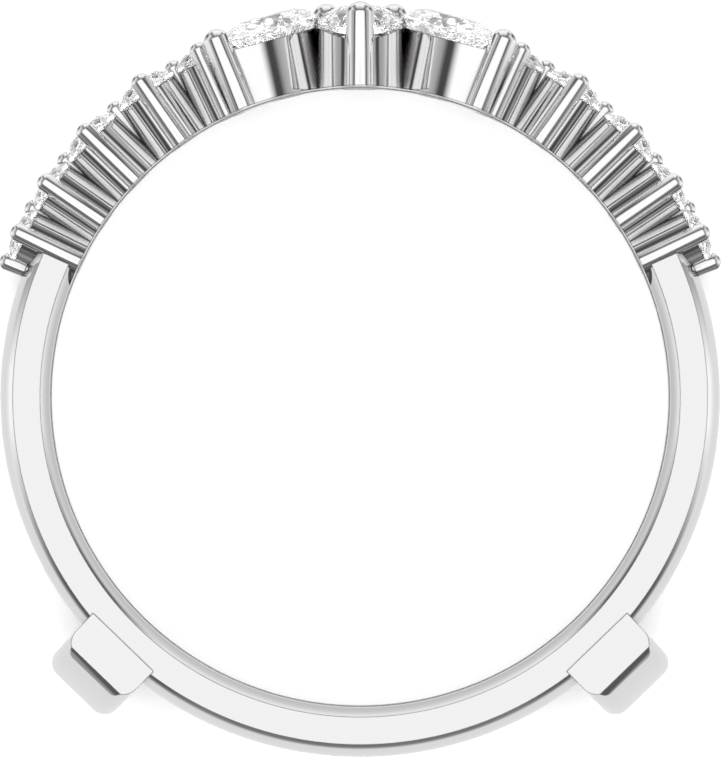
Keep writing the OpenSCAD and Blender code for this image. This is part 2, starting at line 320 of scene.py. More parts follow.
def arc_over_band(rise):
    """Radius of the arc that rises by that much over half the band's width."""
    half = band_w / 2
    return (half * half + rise * rise) / (2 * rise)


def band_outline(points=20):
    """The band's section: its outer dome one way, its inner dome back."""
    outer_r, inner_r = arc_over_band(dome_rise), arc_over_band(comfort_rise)
    half = band_w / 2
    across = [half * (2 * k / points - 1) for k in range(points + 1)]
    outer = [(bore_r + band_t - outer_r + math.sqrt(outer_r**2 - y * y), y) for y in across]
    inner = [(bore_r - bore_trim + inner_r - math.sqrt(inner_r**2 - y * y), y) for y in across]
    return outer + inner[::-1]


shank_start = last_small["at"] + along(shank_past, small_h)
shank_sweep = 360 - 2 * shank_start
band = turned(band_outline(), steps=220, sweep=shank_sweep)
place = Matrix.Translation((0, 0, mid_z)) @ Matrix.Rotation(math.radians(90 + shank_start), 4, "Z")
keep(band, "band", metal_pieces, both_rows(place))
print(f"bands swept through {shank_sweep:.1f} degrees")

# %% [markdown]
# The head's rail
#
# Under the stones the shank thins to a slim rail that the collets grow from. It is seen as
# the thin edge inside the head. It is a plain flat hoop, so the lathe turns it whole; below
# the shoulders it runs on inside the bands. Its inside starts within the bore, like the feet
# of all that stands on it, and reaming the bore later trims them to one smooth wall.

# %% Turn the rail
foot = 0.35
rail_t, rail_w, rail_back = 0.6, 1.1, 0.15
rail_in, rail_out = bore_r - foot / 2, bore_r + rail_t
rail = turned([(rail_in, 0), (rail_out, 0), (rail_out, rail_w), (rail_in, rail_w)], steps=256)
keep(rail, "rail", metal_pieces, both_rows(Matrix.Translation((0, 0, slot_z + rail_back))))
print(f"rail {rail_t} x {rail_w} mm")

# %% [markdown]
# Boolean work
#
# Cutting, overlapping and joining solids is what a boolean modifier does. Its manifold
# solver is quick and leaves closed solids, so one helper runs it and keeps the result as a
# plain mesh.

# %% One helper for booleans
def combined(piece, tools, how):
    """The piece after a boolean with every solid in a collection, as a new mesh."""
    bpy.context.scene.collection.objects.link(piece)
    bpy.context.scene.collection.children.link(tools)
    boolean = piece.modifiers.new(how.lower(), "BOOLEAN")
    boolean.operation = how
    boolean.solver = "MANIFOLD"
    boolean.material_mode = "TRANSFER"
    boolean.operand_type = "COLLECTION"
    boolean.collection = tools
    mesh = bpy.data.meshes.new_from_object(
        piece.evaluated_get(bpy.context.evaluated_depsgraph_get())
    )
    for used in [piece, *tools.objects]:
        bpy.data.objects.remove(used)
    bpy.data.collections.remove(tools)
    return mesh


# %% [markdown]
# What two solids share
#
# Some shapes are easiest to say as the overlap of two others, such as a bar and the block
# that files its ends, or the two cones of a marquise collet. Halves of each could be modelled
# and joined; the overlap needs no sums for the line where they meet.

# %% Overlap of two solids
def overlap_of(solids):
    """What two solids share, as a bmesh."""
    first, second = [bpy.data.meshes.new("overlap") for _ in solids]
    for bm, mesh in zip(solids, (first, second)):
        bm.to_mesh(mesh)
        bm.free()
    other = bpy.data.collections.new("overlap")
    other.objects.link(bpy.data.objects.new("other", second))
    bm = bmesh.new()
    bm.from_mesh(combined(bpy.data.objects.new("first", first), other, "INTERSECT"))
    return bm


thin_in_wide = overlap_of([turned([(0, 0), (r, 0), (r, 1), (0, 1)]) for r in (1, 2)])
print(f"a rod 2 mm wide shares {thin_in_wide.calc_volume():.2f} mm3 with a wider one round it")
thin_in_wide.free()

# %% [markdown]
# The bridge bars
#
# Two bars arch over the slot near the bottom and hold the bands together, high enough for
# the solitaire's shank to pass under. The arc of a bar goes through three points: its top in
# the middle of the ring, and its two ends, just proud of the bands' sides. So the radius is
# worked out from the rise at those points instead of being one more size to keep in step.

# %% The arc of a bar
bar_rise = 2.83
bar_end_rise = 2.0
bar_proud = 0.05
bar_end_z = side_z + bar_proud
arch = bar_rise - bar_end_rise
arch_r = (bar_end_z**2 + arch**2) / (2 * arch)
print(f"bars bent to a radius of {arch_r:.2f} mm")

# %% [markdown]
# Bending a bar
#
# A bar is a strip with a flat underside and rounded outer corners. A straight strip with a
# bend modifier would do. Turning the strip's section round the arc's own axis gives a true
# bend, with both faces on exact arcs. It is bent further than a bar needs, and trimmed next.

# %% Bend a bar
bar_w = 2.34
bar_t = 1.05
bar_corner = 0.45
bend_sweep = 70
bar_half_w = bar_w / 2
inset = bar_half_w - bar_corner
strip = (
    [(arch_r - bar_t, bar_half_w), (arch_r - bar_t, -bar_half_w)]
    + rounded((arch_r - bar_corner, -inset), bar_corner, -90, 0)
    + rounded((arch_r - bar_corner, inset), bar_corner, 0, 90)
)
bent = turned(strip, steps=96, sweep=bend_sweep)
bent.transform(
    Matrix.Translation((0, arch_r - bore_r - bar_rise, 0))
    @ Matrix.Rotation(math.radians(90), 4, "Y")
    @ Matrix.Rotation(math.radians(-90 - bend_sweep / 2), 4, "Z")
)
print(f"strip {bar_w} x {bar_t} mm, {len(strip)} points in its section")

# %% [markdown]
# Filing the bars' ends
#
# On the bench both ends are filed flat and their sharp outer edge is taken off. A knife cut
# and a bevel modifier could do that. Overlapping the bar with a block that has a shallow
# roof does both at once: its sides file the ends flat, and its roof takes the edge off.

# %% Trim the bar and place it twice
bar_angle = 44
bevel_depth, bevel_slope = 0.07, 35
eaves = bar_end_rise - bevel_depth
ridge = eaves + bar_end_z * math.tan(math.radians(bevel_slope))
gable = [(bar_end_z, 0), (bar_end_z, eaves), (0, ridge), (-bar_end_z, eaves), (-bar_end_z, 0)]
block = bmesh.new()
for x in (-2 * bar_w, 2 * bar_w):
    for z, h in gable:
        block.verts.new((x, -bore_r - h, z))
bmesh.ops.convex_hull(block, input=block.verts)
bar = overlap_of([bent, block])
bar_ends = [v.co.z for v in bar.verts]
print(f"bars {max(bar_ends) - min(bar_ends):.2f} mm long, {len(bar.faces)} faces each")
turns = [Matrix.Rotation(math.radians(side * bar_angle), 4, "Z") for side in (-1, 1)]
keep(bar, "bar", metal_pieces, turns)

# %% [markdown]
# Prongs
#
# A prong is a round wire that stands against its stone, with the tip pushed over the edge
# and burnished to a low dome. A fine crease is left where the dome meets the wire. It is
# turned from one outline, foot, wire and dome together, so the crease is real geometry.

# %% Turn and stand a prong
dome_flat = 0.06


def prong(r, height):
    """A wire of that radius, its domed tip that high above the bore's wall."""
    dome_r = r * (1 + dome_flat)
    crease = math.degrees(math.acos(r / dome_r))
    tip = rounded((0, height - dome_r), dome_r, crease, 90)
    tip[-1] = (0, height)
    return turned([(0, -foot), (r, -foot)] + tip, steps=48)


def stand(at, z, r, height):
    """One prong at a place on the front row, copied to both rows and both shoulders."""
    place = on_ring(at, z)
    keep(prong(r, height), "prong", metal_pieces, all_shoulders(place) if at else both_rows(place))


print(f"a prong's dome is drawn {dome_flat:.0%} wider than its wire")

# %% [markdown]
# How far forward the stones stand
#
# Seen from the front, the prongs decide where the stones are: the wire's axis stands just
# past the stone's edge, and the seat is cut into the wire later. So the foremost prongs are
# placed first, the posts a little behind the bands' sides and the head's well in front of
# them, and each round stone is measured back from its prong. A marquise lies aslant, with
# its inner point next to the slot, so it is measured forwards from there.

# %% Places along the finger
post_inset = 0.2
head_proud = 1.095
centre_prong_r = 0.4
prong_set = 0.02
marquise_clear = 0.17
marquise_turn = 47.7
post_z = side_z - post_inset
head_z = side_z + head_proud
centre_z = head_z - centre_prong_r - prong_set - centre_d / 2
marquise_z = slot_z + marquise_clear + marquise_half * math.sin(math.radians(marquise_turn))


def small_z(stone):
    """How far a small round lies from the middle of the ring, along the finger."""
    return post_z - stone["d"] / 2 - prong_set


print("small rounds at", [round(small_z(s), 2) for s in small_rounds], "mm along the finger")

# %% [markdown]
# Prongs of the centre and marquise stones
#
# The stoutest prongs are on the head. One stands in front of the centre stone and two stand
# beside it, and each marquise has one past its outer point and a thin one at its inner point.
# They could be set by eye. Working each one out from its stone keeps them together when a
# stone's size changes, and a straight length off the axis is turned into an angle for that.

# %% Stand the prongs round the centre and marquise stones
centre_h = 1.79
tip_prong_r = 0.36
tip_prong_past = 0.2
inner_tip_prong_r = 0.22
inner_tip_prong_clear = 0.08
side_prong_r = 0.38
side_prong_turn = 39
tall_prong_h = 2.35
low_prong_h = 2.1


def span(length, height):
    """Degrees round the ring that a straight length takes up at a height above the bore."""
    return math.degrees(math.atan(length / (bore_r + height)))


stand(0, head_z - centre_prong_r, centre_prong_r, tall_prong_h)
reach = marquise_half * math.cos(math.radians(marquise_turn))
outer_tip_at = marquise_at + span(reach + tip_prong_past, marquise_h)
stand(outer_tip_at, head_z - tip_prong_r, tip_prong_r, tall_prong_h)
inner_tip_at = marquise_at - span(reach, marquise_h)
inner_tip_z = slot_z + inner_tip_prong_clear + inner_tip_prong_r
stand(inner_tip_at, inner_tip_z, inner_tip_prong_r, low_prong_h)
side_reach = centre_d / 2 + prong_set
turn = math.radians(side_prong_turn)
side_at = span(side_reach * math.cos(turn), centre_h)
stand(side_at, centre_z - side_reach * math.sin(turn), side_prong_r, tall_prong_h)
print(f"marquise prongs at {outer_tip_at:.1f} and {inner_tip_at:.1f} degrees")

# %% [markdown]
# Prongs of the small rounds
#
# Each small round has a post in front of it and a thin prong behind. Neighbours share a
# prong where they nearly touch, and one more closes each end of the run. One loop over the
# stones and one over the pairs of neighbours stand them all, whatever the table says.

# %% Stand the prongs of the small rounds
shared_prong_r = 0.25
inner_prong_r = 0.2
first_prong_clear = 0.18
end_prong_clear = 0.104
for stone in small_rounds:
    stand(stone["at"], post_z, stone["post_r"], low_prong_h + stone["extra_h"])
    inner_z = small_z(stone) - stone["d"] / 2 - prong_set
    stand(stone["at"], inner_z, inner_prong_r, low_prong_h)
for a, b in zip(small_rounds, small_rounds[1:]):
    shared_at = b["at"] - along(b["d"] / 2 + b["gap"] / 2, small_h)
    stand(shared_at, (small_z(a) + small_z(b)) / 2, shared_prong_r, low_prong_h)
first_prong_at = first_small["at"] - along(first_small["d"] / 2 + first_prong_clear, small_h)
end_prong_at = last_small["at"] + along(last_small["d"] / 2 + end_prong_clear, small_h)
stand(first_prong_at, small_z(first_small), shared_prong_r, low_prong_h)
stand(end_prong_at, small_z(last_small), shared_prong_r, low_prong_h)

# %% [markdown]
# Round collets
#
# A collet is the tube that a stone sits in, and a round stone's is a piece of round tube.
# Blender's cylinder would do for that. The lathe is used again, so that the tube's foot and
# rim are heights like all the others; the hole in it comes with the seat and the drill.

# %% Turn the small collets
collet_lip = 0.02
small_rim_drop = 0.08


def tube(r, bottom, top, steps=72):
    """A plain upright rod; the seats and drills make a tube of it."""
    return turned([(0, bottom), (r, bottom), (r, top), (0, top)], steps)


for stone in small_rounds:
    collet = tube(stone["d"] / 2 + collet_lip, -small_h - foot, -small_rim_drop)
    place = on_ring(stone["at"], small_z(stone), 0, small_h)
    keep(collet, "collet", metal_pieces, all_shoulders(place))

# %% [markdown]
# The centre collet's scallop
#
# The centre stone's collet dips between its prongs, as if a round file had been drawn over
# its rim. That is the overlap of the upright tube with a wide one that lies across the top
# of the ring and comes up to just under the stone's girdle.

# %% Overlap two tubes for the centre collet
centre_lean = 6.8
centre_rim_drop = 0.1
centre_scallop_r = 2.8
centre_collet_r = centre_d / 2 + collet_lip
scallop = tube(centre_scallop_r, -2 * centre_collet_r, 2 * centre_collet_r, steps=160)
scallop.transform(
    Matrix.Translation((0, 0, -centre_rim_drop - centre_scallop_r))
    @ Matrix.Rotation(math.radians(90), 4, "Y")
)
centre_collet = overlap_of([tube(centre_collet_r, -centre_h - foot, 0, steps=96), scallop])
centre_place = on_ring(0, centre_z, centre_lean, centre_h)
keep(centre_collet, "collet", metal_pieces, both_rows(centre_place))
print(f"centre collet {2 * centre_collet_r:.2f} mm wide")

# %% [markdown]
# Marquise collets
#
# A marquise has a boat-shaped collet, and later a boat-shaped seat. They could be lofted
# from outlines. But the shape of a marquise is where two circles overlap, so its collet is
# where two turned solids overlap, and both points come out sharp by themselves.

# %% Boat shapes from two turned solids
def arc_r(half_l, half_w):
    """Radius of the arcs that make a marquise's outline."""
    return (half_l**2 + half_w**2) / (2 * half_w)


def boat(outline, centre_off, steps=360):
    """The overlap of an outline turned about two axes, each that far off the middle."""
    sides = []
    for side in (-1, 1):
        solid = turned(outline, steps)
        solid.transform(Matrix.Translation((0, side * centre_off, 0)))
        sides.append(solid)
    return overlap_of(sides)


print(f"a marquise's sides are arcs of {arc_r(marquise_half, marquise_w / 2):.2f} mm radius")

# %% [markdown]
# The collet's wall
#
# Down by the finger there is less room round the ring than up by the stones, so the wall of
# a marquise collet leans in on its way down. That makes cones of the two turned solids. The
# collet is turned with its rim at the origin, lowered to just under the stone, and set on
# the ring aslant, as the stones lie.

# %% Overlap two cones for the marquise collets
marquise_lean = 3
marquise_rim_drop = 0.29
collet_taper = 4
rim_half_w = marquise_w / 2 + collet_lip
rim_r = arc_r(marquise_half + collet_lip, rim_half_w)
depth = marquise_h - marquise_rim_drop + foot
foot_r = rim_r - depth * math.tan(math.radians(collet_taper))
marquise_collet = boat([(0, -depth), (foot_r, -depth), (rim_r, 0), (0, 0)], rim_r - rim_half_w)
marquise_collet.transform(Matrix.Translation((0, 0, -marquise_rim_drop)))
marquise_place = (
    on_ring(marquise_at, marquise_z, marquise_lean, marquise_h)
    @ Matrix.Rotation(math.radians(-marquise_turn), 4, "Z")
)
keep(marquise_collet, "marquise collet", metal_pieces, all_shoulders(marquise_place))
print(f"marquise collets {2 * rim_half_w:.2f} mm wide at the rim")

# %% [markdown]
# Cut of the stones
#
# Every stone is cut to one recipe: shares of its width set its crown, pavilion and table.
# The stones themselves are the CAD model's. The recipe is needed again for the burrs that
# cut their seats, since a burr has the stone's own shape and is only a hair larger.

# %% Heights in a stone
girdle_t = 0.06
crown_share = 0.16
pavilion_share = 0.43
table_share = 0.57
star_share = 0.82
lower_share = 0.5
facets_round = 8
facet_bend = math.cos(math.radians(180 / facets_round))


def levels(w):
    """Heights of a stone's corners: point, lower facets, star facets and table."""
    up, down = crown_share * w, pavilion_share * w
    return {
        "point": -girdle_t / 2 - down,
        "lower": -girdle_t / 2 - down * (1 - lower_share * facet_bend),
        "star": girdle_t / 2 + up * (1 - star_share * facet_bend) / (1 - table_share),
        "table": girdle_t / 2 + up,
    }


print(f"a stone 2 mm wide is {levels(2)['table'] - levels(2)['point']:.2f} mm deep")

# %% [markdown]
# Seats and light holes
#
# Each seat is cut with a burr of the stone's own shape, and a hole is drilled up from the
# bore so that light reaches the stone from below. A seat could be a plain cone. The burr's
# outline has the stone's corners instead, so that the stone lies close on all sides.

# %% Drill and burr
seat_gap = 0.03
drill_share = 0.45
drill_l = 4


def drill(w):
    """The light hole under a stone of that width, up to the middle of its pavilion."""
    return tube(drill_share * w / 2, -drill_l, -pavilion_share * w / 2, steps=48)


def round_seat(d):
    """A burr with the outline of a round stone's corners, a gap larger all round."""
    r, at = d / 2, levels(d)
    return turned([
        (0, at["point"] - seat_gap),
        (lower_share * r + seat_gap, at["lower"] - seat_gap),
        (r + seat_gap, -girdle_t / 2 - seat_gap),
        (r + seat_gap, girdle_t / 2 + seat_gap),
        (star_share * r + seat_gap, at["star"] + seat_gap),
        (table_share * r + seat_gap, at["table"] + seat_gap),
        (table_share * r + seat_gap, at["table"] + r),
        (0, at["table"] + r),
    ], steps=72)


print(f"a light hole under a 2 mm stone is {drill_share * 2:.2f} mm wide")

# %% [markdown]
# Set the cutters in place
#
# The finger bore is reamed through everything at once, and the burrs bite into the prongs as
# well as the collets. Each cutter stands where its stone does, on the same matrix. The burrs
# carry the bright cut finish, and the boolean leaves it on the faces that they cut.

# %% Cutters for the bore and the round stones
keep(tube(bore_r, -2 * head_z, 2 * head_z, steps=360), "bore", cutters, [Matrix.Identity(4)])
keep(round_seat(centre_d), "seat", cutters, both_rows(centre_place), bright_cut)
keep(drill(centre_d), "drill", cutters, both_rows(centre_place))
for stone in small_rounds:
    place = on_ring(stone["at"], small_z(stone), 0, small_h)
    keep(round_seat(stone["d"]), "seat", cutters, all_shoulders(place), bright_cut)
    keep(drill(stone["d"]), "drill", cutters, all_shoulders(place))

# %% [markdown]
# Marquise seats
#
# A marquise seat is worked with gravers, since no burr has that shape. Here it is the same
# overlap of two turned solids as its collet, with the outline of the stone's own cut.

# %% Cutters for the marquise stones
stone_half_w = marquise_w / 2
stone_r = arc_r(marquise_half, stone_half_w)
girdle_up = girdle_t / 2 + seat_gap
seat_low = -girdle_up - pavilion_share * marquise_w - seat_gap
seat_high = girdle_up + crown_share * marquise_w
marquise_seat = boat([
    (0, seat_low),
    (stone_r - stone_half_w, seat_low),
    (stone_r + seat_gap, -girdle_up),
    (stone_r + seat_gap, girdle_up),
    (stone_r + seat_gap - stone_half_w * (1 - table_share), seat_high),
    (0, seat_high),
], stone_r - stone_half_w)
keep(marquise_seat, "marquise seat", cutters, all_shoulders(marquise_place), bright_cut)
keep(drill(marquise_w), "drill", cutters, all_shoulders(marquise_place))

# %% [markdown]
# One piece of metal
#
# On the bench everything is cast and soldered into one piece, and the seams vanish under
# the polish. Overlapping meshes would look right from afar, but leave faces inside the metal
# that a cut lays bare. So the solids are joined first and cut second.

# %% Join, cut and shrink to metres
first = metal_pieces.objects[0]
metal_pieces.objects.unlink(first)
joined = combined(first, metal_pieces, "UNION")
metal_mesh = combined(bpy.data.objects.new("joined", joined), cutters, "DIFFERENCE")
metal_mesh.transform(Matrix.Scale(MM, 4))
metal_mesh.name = "polished_ring_frame"
metal_mesh.calc_loop_triangles()
print("metal triangles:", len(metal_mesh.loop_triangles))

# %% [markdown]
# Smooth turns, crisp edges
#
# Smooth shading hides the steps of the turned surfaces. Edges that bend by more than a step
# stay crisp, and weighted normals let the large flat faces win over the slivers beside them,
# so that a flat side mirrors like a flat. The new metal then takes the CAD frame's place.

# %% Shade the metal and put it in the frame's place
crisp_from = 24
metal_mesh.shade_smooth()
metal_mesh.set_sharp_from_angle(angle=math.radians(crisp_from))
ring_metal = bpy.data.objects.new("polished_ring_frame", metal_mesh)
bpy.context.scene.collection.objects.link(ring_metal)
flats = ring_metal.modifiers.new("flats stay flat", "WEIGHTED_NORMAL")
flats.keep_sharp = True
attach(ring_metal, "root")
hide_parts("ring_frame")
print("crisp edges:", sum(edge.use_edge_sharp for edge in metal_mesh.edges))

# %% [markdown]
# Building a material
#
# A material is a few nodes joined by links. One function adds a node, sets its values and
# joins its inputs, so that each finish below reads as a short list. Inputs go by their name,
# with _ for a space. Nodes that have several inputs of one name take them by number, as _0.

# %% Add a node
def add(tree, kind, settings=(), **inputs):
    """A node with its settings, and its inputs given as values or as other nodes' outputs."""
    node = tree.nodes.new(kind)
    for key, value in dict(settings).items():
        setattr(node, key, value)
    for key, value in inputs.items():
        socket = node.inputs[int(key[1:])] if key[1:].isdigit() else node.inputs[key.replace("_", " ")]
        if isinstance(value, bpy.types.NodeSocket):
            tree.links.new(value, socket)
        else:
            socket.default_value = value
    return node


white_gold.use_nodes = True
print("a new material has", len(white_gold.node_tree.nodes), "nodes")

# %% [markdown]
# White gold, rhodium plated and mirror polished
#
# White gold is dipped in rhodium, which gives a cool, very bright mirror. Nothing but the
# metal's tone and gloss can tell it from chrome, and both vary on the real thing. Between
# the collets and prongs the plate's colour is painted greyer, as painted shade in the
# recesses. Ambient occlusion measures how closed in a place is and gives the mask for it.

# %% Plate, with painted shade in the nooks
tree = white_gold.node_tree
metal_shader = tree.nodes["Principled BSDF"]
metal_shader.inputs["Metallic"].default_value = 1
nook_mm = 0.9
# painted shade: where ambient occlusion finds walls close by, the plate's colour is mixed towards dark
# grey
nook = add(tree, "ShaderNodeAmbientOcclusion", {"samples": 3}, Distance=nook_mm * MM)
painted_shade_mask = add(tree, "ShaderNodeMapRange", Value=nook.outputs["AO"], From_Min=0.25, From_Max=0.5)
plate = add(
    tree, "ShaderNodeMix", {"data_type": "RGBA"},
    _0=painted_shade_mask.outputs["Result"], _6=linear("#8e8b8c"), _7=linear("#e7e7e7"),
)
print(f"greyer where walls stand within {nook_mm} mm")

# %% [markdown]
# Edges softened by the buff
#
# No edge of a polished ring is sharp: the buff rounds each one by a few hundredths of a
# millimetre. Bevelling every edge would add hundreds of thousands of faces. The Bevel node
# bends the normals near an edge instead. Where they have turned away from the face, a fine
# dark line is painted into the colour: a painted reflection of the studio's dark gaps, which
# a real round would mirror. A real round is too fine for this picture, so the line is painted
# 0.045 mm wide on each side of the edge.

# %% Soft edges and their painted dark line
edge_mm = 0.045
softened = add(tree, "ShaderNodeBevel", {"samples": 4}, Radius=edge_mm * MM)
facing = add(tree, "ShaderNodeNewGeometry")
bend = add(
    tree, "ShaderNodeVectorMath", {"operation": "DOT_PRODUCT"},
    _0=softened.outputs["Normal"], _1=facing.outputs["Normal"],
)
unbent = add(tree, "ShaderNodeMapRange", Value=bend.outputs["Value"], From_Min=0.94, From_Max=0.998)
# painted reflection: dark grey is mixed into the colour where the bevelled normal turns away from the
# face
painted_edge_line = add(
    tree, "ShaderNodeMix", {"data_type": "RGBA"},
    _0=unbent.outputs["Result"], _6=linear("#2e2d2d"), _7=plate.outputs[2],
)
tree.links.new(softened.outputs["Normal"], metal_shader.inputs["Normal"])
print(f"edge lines reach {edge_mm} mm from each edge")

# %% [markdown]
# The inside, with painted shade
#
# The bore is reamed, and its faces are painted a little greyer than those outside, as painted
# shade for the darker reflections inside the ring. They are found by direction: a face
# belongs to the inside where its normal points at the finger's axis. That is the dot product
# of two directions, and it needs no second material and no mask.

# %% Painted shade on the plate inside the ring
across = add(
    tree, "ShaderNodeVectorMath", {"operation": "MULTIPLY"},
    _0=facing.outputs["Position"], _1=(-1, -1, 0),
)
inwards = add(tree, "ShaderNodeVectorMath", {"operation": "NORMALIZE"}, _0=across.outputs["Vector"])
faces_finger = add(
    tree, "ShaderNodeVectorMath", {"operation": "DOT_PRODUCT"},
    _0=inwards.outputs["Vector"], _1=facing.outputs["Normal"],
)
# painted shade: faces that point at the finger's axis get a flat, greyer colour
bore_shade_mask = add(
    tree, "ShaderNodeMapRange",
    Value=faces_finger.outputs["Value"], From_Min=0.9, From_Max=0.985,
)
plate_with_painted_shade = add(
    tree, "ShaderNodeMix", {"data_type": "RGBA"},
    _0=bore_shade_mask.outputs["Result"], _6=painted_edge_line.outputs[2], _7=linear("#b4b2b3"),
)
tree.links.new(plate_with_painted_shade.outputs[2], metal_shader.inputs["Base Color"])
print("nodes in the white gold so far:", len(tree.nodes))

# %% [markdown]
# Gloss that drifts
#
# A mirror polish is done by hand, and its gloss drifts a little over a few tenths of a
# millimetre. An even roughness is what makes metal look like a computer's. A soft noise
# moves it between very bright and bright; its grain is set from the real size of the drift.

# %% Gloss of the mirror polish
buff_mm = 0.6
on_metal = add(tree, "ShaderNodeTexCoord")
drift = add(
    tree, "ShaderNodeTexNoise",
    Vector=on_metal.outputs["Object"], Scale=1 / (buff_mm * MM), Detail=3, Roughness=0.5,
)
gloss = add(tree, "ShaderNodeMapRange", Value=drift.outputs["Fac"], To_Min=0.035, To_Max=0.085)
tree.links.new(gloss.outputs["Result"], metal_shader.inputs["Roughness"])
print(f"{white_gold.name}: {len(tree.nodes)} nodes")

# %% [markdown]
# Bright cut seats
#
# The burr that cuts a seat leaves it bright, and the setter polishes it again, because the
# seat throws light back up through the stone. Its faint turning marks are a fine noise here,
# in tone and gloss together, since only glints of it are seen through the facets. Real ones
# are a hundredth of a millimetre apart, too fine for this picture, and are drawn at 0.05 mm.

# %% Bright cut seats
bright_cut.use_nodes = True
tree = bright_cut.node_tree
seat_shader = tree.nodes["Principled BSDF"]
seat_shader.inputs["Metallic"].default_value = 1
burr_mm = 0.05
on_seat = add(tree, "ShaderNodeTexCoord")
marks = add(
    tree, "ShaderNodeTexNoise",
    Vector=on_seat.outputs["Object"], Scale=1 / (burr_mm * MM), Detail=2, Roughness=0.5,
)
seat_gloss = add(tree, "ShaderNodeMapRange", Value=marks.outputs["Fac"], To_Min=0.08, To_Max=0.16)
seat_tone = add(
    tree, "ShaderNodeMix", {"data_type": "RGBA"},
    _0=marks.outputs["Fac"], _6=linear("#e4e4e4"), _7=linear("#f4f4f4"),
)
tree.links.new(seat_gloss.outputs["Result"], seat_shader.inputs["Roughness"])
tree.links.new(seat_tone.outputs[2], seat_shader.inputs["Base Color"])
print("finishes on the metal:", [m.name for m in metal_mesh.materials])

# %% [markdown]
# Diamonds
#
# The stones are cut and polished flat on every facet, so their own CAD solids are right as
# they are. Diamond bends light more than any other clear stone, with an IOR of 2.42, and a
# colourless one has no tint to speak of. Its polish is too fine for any grain to show, so
# its looks come from the facets, and its numbers sit on the shader itself.

# %% Diamond
diamond = bpy.data.materials.new("colourless diamond, brilliant cut")
diamond.use_nodes = True
stone_shader = diamond.node_tree.nodes["Principled BSDF"]
stone_shader.inputs["Base Color"].default_value = linear("#fcfcfc")
stone_shader.inputs["Transmission Weight"].default_value = 1
stone_shader.inputs["IOR"].default_value = 2.42
stone_shader.inputs["Roughness"].default_value = 0
stones = [o for name, o in frame["nodes"].items() if name != "ring_frame"]
for stone in stones:
    stone.data.materials.clear()
    stone.data.materials.append(diamond)
print("stones:", len(stones))

# %% [markdown]
# The floor
#
# The ring lies on its side on a pale floor. Matt paper is what a photographer lays down for
# it: it spreads the light and shows no gloss of its own. One large face is enough, as low as
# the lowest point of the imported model. It is staging, not part of the ring. The polished
# metal doesn't mirror it: what it sees in its place is the lower half of the studio's light,
# made further down, which can be set for the metal alone.

# %% Floor
floor_half = 2
floor_bm = bmesh.new()
bmesh.ops.create_grid(floor_bm, x_segments=1, y_segments=1, size=floor_half)
floor_mesh = bpy.data.meshes.new("floor")
floor_bm.to_mesh(floor_mesh)
floor_bm.free()
floor = bpy.data.objects.new("floor", floor_mesh)
floor.location.z = cad_box[0].z
floor.visible_glossy = False
bpy.context.scene.collection.objects.link(floor)
floor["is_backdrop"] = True
paper = bpy.data.materials.new("matt white paper")
paper.use_nodes = True
paper_shader = paper.node_tree.nodes["Principled BSDF"]
paper_shader.inputs["Base Color"].default_value = linear("#f4f4f4")
paper_shader.inputs["Roughness"].default_value = 0.9
paper_shader.inputs["Specular IOR Level"].default_value = 0.1
floor_mesh.materials.append(paper)
print(f"floor {floor.location.z / MM:.2f} mm below the middle of the ring")

# %% [markdown]
# The studio round the ring
#
# Polished metal shows nothing but what surrounds it, so the light is the look. Lamps and
# cards could be built as bright and dark planes. A background that depends on direction
# alone does the same for a thing this small, and stands in nobody's way. The first thing it
# needs is how far a direction points down from overhead, from 0 at the top to 1 at the foot.

# %% How far down a direction points
world = bpy.data.worlds.new("studio")
bpy.context.scene.world = world
world.use_nodes = True
sky = world.node_tree
direction = add(sky, "ShaderNodeTexCoord")
parts = add(sky, "ShaderNodeSeparateXYZ", Vector=direction.outputs["Generated"])
down = add(sky, "ShaderNodeMath", {"operation": "ARCCOSINE"}, _0=parts.outputs["Z"])
turned_down = add(sky, "ShaderNodeMath", {"operation": "DIVIDE"}, _0=down.outputs["Value"], _1=math.pi)
print("the world starts with", len(sky.nodes), "nodes")

# %% [markdown]
# Five walls of light, and a tent
#
# Overhead hangs one broad soft box, which every flat side of the ring mirrors. Round it runs
# a dark band: it draws the dark lines along the domed surfaces. Below that each way differs.
# At the sides stand pale walls that fade upwards into the band. Towards the corners stand
# black cards. The flanks of the prongs and collets on the shoulders mirror them, so that
# they read as dark between bright edges. From about 130 degrees down, all the walls are the
# pale floor.
#
# The last row isn't a wall. Light that goes through a brilliant cut leaves it in hundreds of
# directions, and most would end on a black card, so that the stones look like coal. A
# photographer puts a white tent over them. It is bright all round, with two dim bands that
# keep the facets apart.

# %% Brightness of the walls and the tent
OVERHEAD = [(0, 0.88), (4, 0.89), (10, 1)]
PALE_FLOOR = [(128, 0.78), (136, 0.69), (180, 0.66)]

